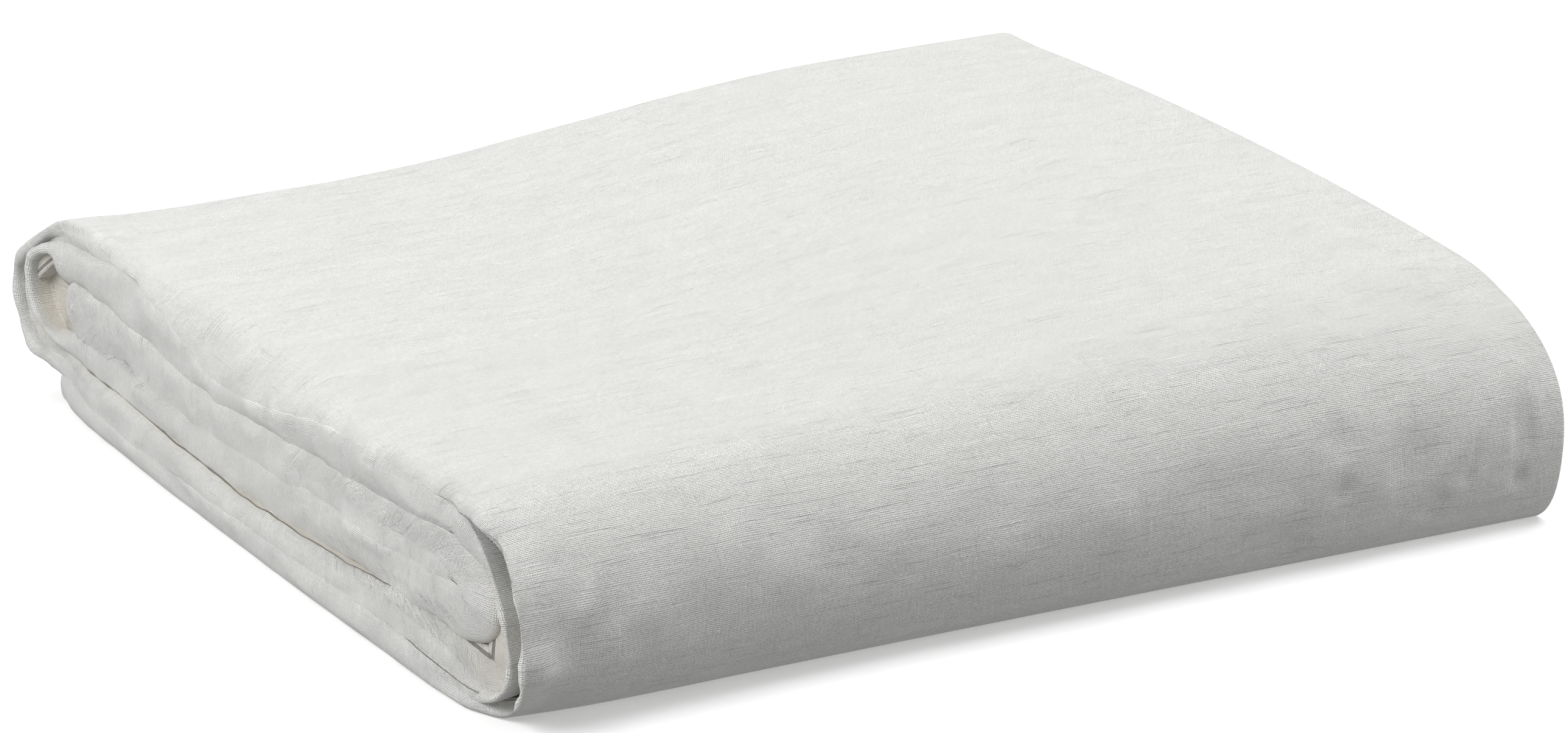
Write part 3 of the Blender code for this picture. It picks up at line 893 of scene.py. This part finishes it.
def wave_relief(places):
    """Metres of soft, uneven rise and fall: long on the outside, short on the left end."""
    end_share = smooth((END_WAVES_FROM - places[:, 0]) / END_WAVES_FADE)
    relief = np.zeros(len(places))
    for wave in WAVES:
        scale = 1.0 / (np.array(wave.length) * MM)
        share = end_share if wave.at_end else 1.0 - end_share
        for i in np.nonzero(share > WAVE_LEAST_SHARE)[0]:
            rise = noise.noise(Vector(places[i] * scale + wave.seed))
            relief[i] += share[i] * wave.height * MM * rise
    return relief


def read_vectors(items, key):
    values = np.zeros(len(items) * 3)
    items.foreach_get(key, values)
    return values.reshape(-1, 3)


def add_relief(mesh):
    places = read_vectors(mesh.vertices, "co")
    normals = read_vectors(mesh.vertices, "normal")
    relief = crease_relief(places) + wave_relief(places)
    relief *= smooth(places[:, 2] / REST_HEIGHT)
    places += normals * relief[:, None]
    mesh.vertices.foreach_set("co", places.reshape(-1))
    mesh.update()


def weave_loops(mesh, weave, at_fold_end):
    """The weave's coordinates at each face corner. On a fold's end face, where the band's own
    coordinates would fan out from one point, the threads run straight on across the face."""
    places = read_vectors(mesh.vertices, "co")
    normals = read_vectors(mesh.polygons, "normal")
    corners = np.zeros(len(mesh.polygons), dtype=np.int64)
    mesh.polygons.foreach_get("loop_total", corners)
    loops = np.zeros(len(mesh.loops), dtype=np.int64)
    mesh.loops.foreach_get("vertex_index", loops)
    facing = np.repeat(normals[:, 0] < END_FACING, corners)
    first = np.repeat(np.concatenate([[0], np.cumsum(corners)[:-1]]), corners)
    straight = facing & at_fold_end[loops[first]]
    return np.where(straight[:, None], places[loops][:, [2, 1]], weave[loops])


def make_sheet():
    points, shown, turning, inside = sheet_points()
    rings, columns, _ = points.shape
    across, along = weave_coordinates(points, turning)
    index = np.arange(rings * columns).reshape(rings, columns)
    faces = sheet_faces(index, shown)
    ends = np.r_[0:OUTER_STEPS:COARSE_STEP, OUTER_STEPS:columns]
    faces += [index[0, ends].tolist(), index[-1, ends[::-1]].tolist()]
    used = np.unique(np.concatenate(faces))
    renumber = np.zeros(rings * columns, dtype=np.int64)
    renumber[used] = np.arange(len(used))
    faces = [renumber[face].tolist() for face in faces]
    places = points.reshape(-1, 3)[used]
    weave = np.stack([across.reshape(-1), along.reshape(-1)], axis=-1)[used]
    mesh = bpy.data.meshes.new("linen_sheet")
    mesh.from_pydata(places.tolist(), [], faces)
    mesh.update()
    add_relief(mesh)
    at_end = np.zeros(columns, dtype=bool)
    at_end[0] = True
    at_end[columns - LEFT_STEPS:] = True
    at_fold_end = (turning[:, None] & at_end[None, :]).reshape(-1)[used]
    uv = mesh.uv_layers.new(name="weave")
    uv.data.foreach_set("uv", weave_loops(mesh, weave, at_fold_end).astype(np.float32).reshape(-1))
    # Each point's share of painted shade, for the material's cream tint in deep gaps
    depth = mesh.attributes.new("inside", "FLOAT", "POINT")
    depth.data.foreach_set("value", inside.reshape(-1)[used].astype(np.float32))
    mesh.shade_smooth()
    sheet = bpy.data.objects.new("linen_sheet", mesh)
    bpy.context.scene.collection.objects.link(sheet)
    return sheet


# Materials

def put(tree, kind, inputs=None, **settings):
    """A new node with its settings made and its inputs set or linked."""
    node = tree.nodes.new(kind)
    for name, value in settings.items():
        setattr(node, name, value)
    for name, value in (inputs or {}).items():
        fill(tree, node.inputs[name], value)
    return node


def fill(tree, socket, value):
    if isinstance(value, bpy.types.NodeSocket):
        tree.links.new(value, socket)
    else:
        socket.default_value = value


def calc(tree, operation, *values):
    """The outcome of one sum on numbers or sockets."""
    node = put(tree, "ShaderNodeMath", operation=operation)
    for socket, value in zip(node.inputs, values):
        fill(tree, socket, value)
    return node.outputs["Value"]


def stretched_noise(tree, across, along, size, detail=2.0):
    """Noise whose grains have this size in metres along its two coordinates."""
    place = put(tree, "ShaderNodeCombineXYZ", {
        "X": calc(tree, "DIVIDE", across, size[0]), "Y": calc(tree, "DIVIDE", along, size[1]),
    })
    grain = put(tree, "ShaderNodeTexNoise", {
        "Vector": place.outputs["Vector"], "Scale": 1.0, "Detail": detail, "Roughness": 0.5,
    })
    return grain.outputs["Fac"]


def between(tree, value, low, high, to_low=0.0, to_high=1.0):
    """A value carried smoothly from one range to another, and held past its ends."""
    node = put(tree, "ShaderNodeMapRange", interpolation_type="SMOOTHSTEP")
    for name, number in zip(("Value", "From Min", "From Max", "To Min", "To Max"),
                            (value, low, high, to_low, to_high)):
        fill(tree, node.inputs[name], number)
    return node.outputs["Result"]


def crown(tree, count):
    """0 at a thread's sides and 1 along its middle."""
    off = calc(tree, "SUBTRACT", calc(tree, "FRACT", count), 0.5)
    return calc(tree, "SUBTRACT", 1.0, calc(tree, "MULTIPLY", calc(tree, "MULTIPLY", off, off), 4.0))


def thread_height(tree, warp, weft):
    """The plain weave: each thread goes over one and under the next."""
    warp_crown = crown(tree, warp)
    weft_crown = crown(tree, weft)
    cells = calc(tree, "ADD", calc(tree, "FLOOR", warp), calc(tree, "FLOOR", weft))
    weft_over = calc(tree, "FLOORED_MODULO", cells, 2.0)
    warp_share = calc(tree, "MULTIPLY_ADD", weft_crown, *WARP_CROWN)
    weft_share = calc(tree, "MULTIPLY_ADD", warp_crown, *WEFT_CROWN)
    warp_on_top = calc(tree, "MULTIPLY", warp_crown, warp_share)
    weft_on_top = calc(tree, "MULTIPLY", weft_crown, weft_share)
    change = calc(tree, "SUBTRACT", weft_on_top, warp_on_top)
    return calc(tree, "MULTIPLY_ADD", change, weft_over, warp_on_top)


def linen_material():
    material = bpy.data.materials.new("washed_linen")
    material.use_nodes = True
    tree = material.node_tree
    shader = tree.nodes["Principled BSDF"]
    weave = put(tree, "ShaderNodeUVMap", uv_map="weave")
    split = put(tree, "ShaderNodeSeparateXYZ", {"Vector": weave.outputs["UV"]})
    across, along = split.outputs["X"], split.outputs["Y"]

    # The threads wander and run a little askew
    wander_across = calc(tree, "SUBTRACT", stretched_noise(tree, across, along, WANDER_ACROSS), 0.5)
    wander_along = calc(tree, "SUBTRACT", stretched_noise(tree, along, across, WANDER_ALONG), 0.5)
    askew = calc(tree, "MULTIPLY_ADD", across, THREAD_SKEW, along)
    thread_across = calc(tree, "MULTIPLY_ADD", wander_across, THREAD_WANDER, across)
    thread_along = calc(tree, "MULTIPLY_ADD", wander_along, THREAD_WANDER, askew)
    warp = calc(tree, "DIVIDE", thread_across, WARP_PITCH)
    weft = calc(tree, "DIVIDE", thread_along, WEFT_PITCH)
    threads = thread_height(tree, warp, weft)

    # Slubs: thick places, most of them on the threads along the packet's long side
    weft_slubs = stretched_noise(tree, thread_across, thread_along, WEFT_SLUB, 1.0)
    warp_slubs = stretched_noise(tree, thread_across, thread_along, WARP_SLUB, 1.0)
    weft_slubs = between(tree, weft_slubs, 0.60, 0.76)
    warp_slubs = between(tree, warp_slubs, 0.64, 0.78)
    slubs = calc(tree, "MULTIPLY_ADD", warp_slubs, 0.5, weft_slubs)
    bars = stretched_noise(tree, thread_across, thread_along, BARS)
    clouds = stretched_noise(tree, across, along, CLOUDS, 3.0)
    crumple = stretched_noise(tree, across, along, CRUMPLES, 3.0)
    grain = stretched_noise(tree, thread_across, thread_along, GRAINS)

    # Raised threads are lighter than the gaps between them, and the cloth is a little uneven
    tone = calc(tree, "MULTIPLY", slubs, TONE_SHARES["slubs"])
    tone = calc(tree, "MULTIPLY_ADD", threads, TONE_SHARES["threads"], tone)
    tone = calc(tree, "MULTIPLY_ADD", bars, TONE_SHARES["bars"], tone)
    tone = calc(tree, "MULTIPLY_ADD", clouds, TONE_SHARES["clouds"], tone)
    tone = calc(tree, "MULTIPLY_ADD", grain, TONE_SHARES["grain"], tone)
    colour = put(tree, "ShaderNodeValToRGB", {"Fac": tone})
    for stop, place, shade in zip(colour.color_ramp.elements, TONE_RANGE, (GAP_COLOUR, THREAD_COLOUR)):
        stop.position = place
        stop.color = shade
    # Painted shade: the colour is multiplied by a cream tint in deep gaps, by the mesh's shade share
    # The mix node's colour sockets share their names with its others, so they go by number
    inside = put(tree, "ShaderNodeAttribute", attribute_name="inside")
    painted_shade_mix = put(tree, "ShaderNodeMix", data_type="RGBA", blend_type="MULTIPLY")
    fill(tree, painted_shade_mix.inputs[0], inside.outputs["Fac"])
    fill(tree, painted_shade_mix.inputs[6], colour.outputs["Color"])
    fill(tree, painted_shade_mix.inputs[7], PAINTED_GAP_SHADE_TINT)
    fill(tree, shader.inputs["Base Color"], painted_shade_mix.outputs[2])
    fill(tree, shader.inputs["Roughness"], between(tree, slubs, 0.0, 1.0, 0.82, 0.62))

    soft = put(tree, "ShaderNodeBump", {
        "Height": crumple, "Strength": 1.0, "Distance": CRUMPLE_HEIGHT,
    })
    uneven = put(tree, "ShaderNodeBump", {
        "Height": grain, "Strength": 1.0, "Distance": GRAIN_HEIGHT, "Normal": soft.outputs["Normal"],
    })
    height = calc(tree, "MULTIPLY_ADD", slubs, SLUB_HEIGHT, threads)
    fine = put(tree, "ShaderNodeBump", {
        "Height": height, "Strength": 1.0, "Distance": THREAD_HEIGHT,
        "Normal": uneven.outputs["Normal"],
    })
    fill(tree, shader.inputs["Normal"], fine.outputs["Normal"])
    shader.inputs["Specular IOR Level"].default_value = 0.30
    shader.inputs["Sheen Weight"].default_value = 0.12
    shader.inputs["Sheen Roughness"].default_value = 0.45
    return material


def floor_material():
    material = bpy.data.materials.new("studio_floor")
    material.use_nodes = True
    shader = material.node_tree.nodes["Principled BSDF"]
    shader.inputs["Base Color"].default_value = (0.95, 0.95, 0.95, 1.0)
    shader.inputs["Roughness"].default_value = 0.95
    shader.inputs["Emission Color"].default_value = (1.0, 1.0, 1.0, 1.0)
    shader.inputs["Emission Strength"].default_value = FLOOR_GLOW
    return material


# Studio

def make_floor():
    mesh = bpy.data.meshes.new("studio_floor")
    size = FLOOR_HALF_SIZE
    corners = [(-size, -size, 0), (size, -size, 0), (size, size, 0), (-size, size, 0)]
    mesh.from_pydata(corners, [], [(0, 1, 2, 3)])
    mesh.materials.append(floor_material())
    floor = bpy.data.objects.new("studio_floor", mesh)
    bpy.context.scene.collection.objects.link(floor)
    floor.visible_diffuse = False
    return floor


def aim(thing, place, target, roll=0.0):
    back = (Vector(place) - Vector(target)).normalized()
    turn = back.to_track_quat("Z", "Y").to_matrix().to_4x4()
    thing.matrix_world = turn
    thing.rotation_euler.rotate_axis("Z", roll)
    thing.location = place


def make_camera():
    azimuth = math.radians(CAMERA_AZIMUTH)
    elevation = math.radians(CAMERA_ELEVATION)
    target = Vector(CAMERA_TARGET)
    back = Vector((
        math.sin(azimuth) * math.cos(elevation),
        -math.cos(azimuth) * math.cos(elevation),
        math.sin(elevation),
    ))
    data = bpy.data.cameras.new("photo_camera")
    data.sensor_fit = "HORIZONTAL"
    data.sensor_width = SENSOR_WIDTH
    data.lens = CAMERA_FOCAL_PIXELS * SENSOR_WIDTH / PHOTO_WIDTH
    camera = bpy.data.objects.new("photo_camera", data)
    bpy.context.scene.collection.objects.link(camera)
    aim(camera, target + back * CAMERA_DISTANCE, target, math.radians(CAMERA_ROLL))
    bpy.context.scene.camera = camera


def make_lights():
    for row in LIGHTS:
        data = bpy.data.lights.new(row.name, "AREA")
        data.shape = "SQUARE"
        data.size = row.size
        data.energy = row.power
        light = bpy.data.objects.new(row.name, data)
        bpy.context.scene.collection.objects.link(light)
        aim(light, row.place, LIGHT_TARGET)
    world = bpy.data.worlds.new("studio")
    world.use_nodes = True
    world.node_tree.nodes["Background"].inputs["Color"].default_value = (1.0, 1.0, 1.0, 1.0)
    world.node_tree.nodes["Background"].inputs["Strength"].default_value = WORLD_LIGHT
    bpy.context.scene.world = world
    bpy.context.scene.view_settings.view_transform = "Standard"


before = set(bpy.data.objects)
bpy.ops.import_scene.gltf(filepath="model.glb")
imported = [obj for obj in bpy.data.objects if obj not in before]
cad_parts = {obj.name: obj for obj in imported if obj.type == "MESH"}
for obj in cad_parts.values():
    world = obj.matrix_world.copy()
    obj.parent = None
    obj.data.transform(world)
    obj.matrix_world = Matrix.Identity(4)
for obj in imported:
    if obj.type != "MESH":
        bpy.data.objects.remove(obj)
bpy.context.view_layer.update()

sheet = make_sheet()
sheet.data.materials.append(linen_material())
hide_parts("fitted_sheet")
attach(sheet, "root")

floor = make_floor()
make_camera()
make_lights()
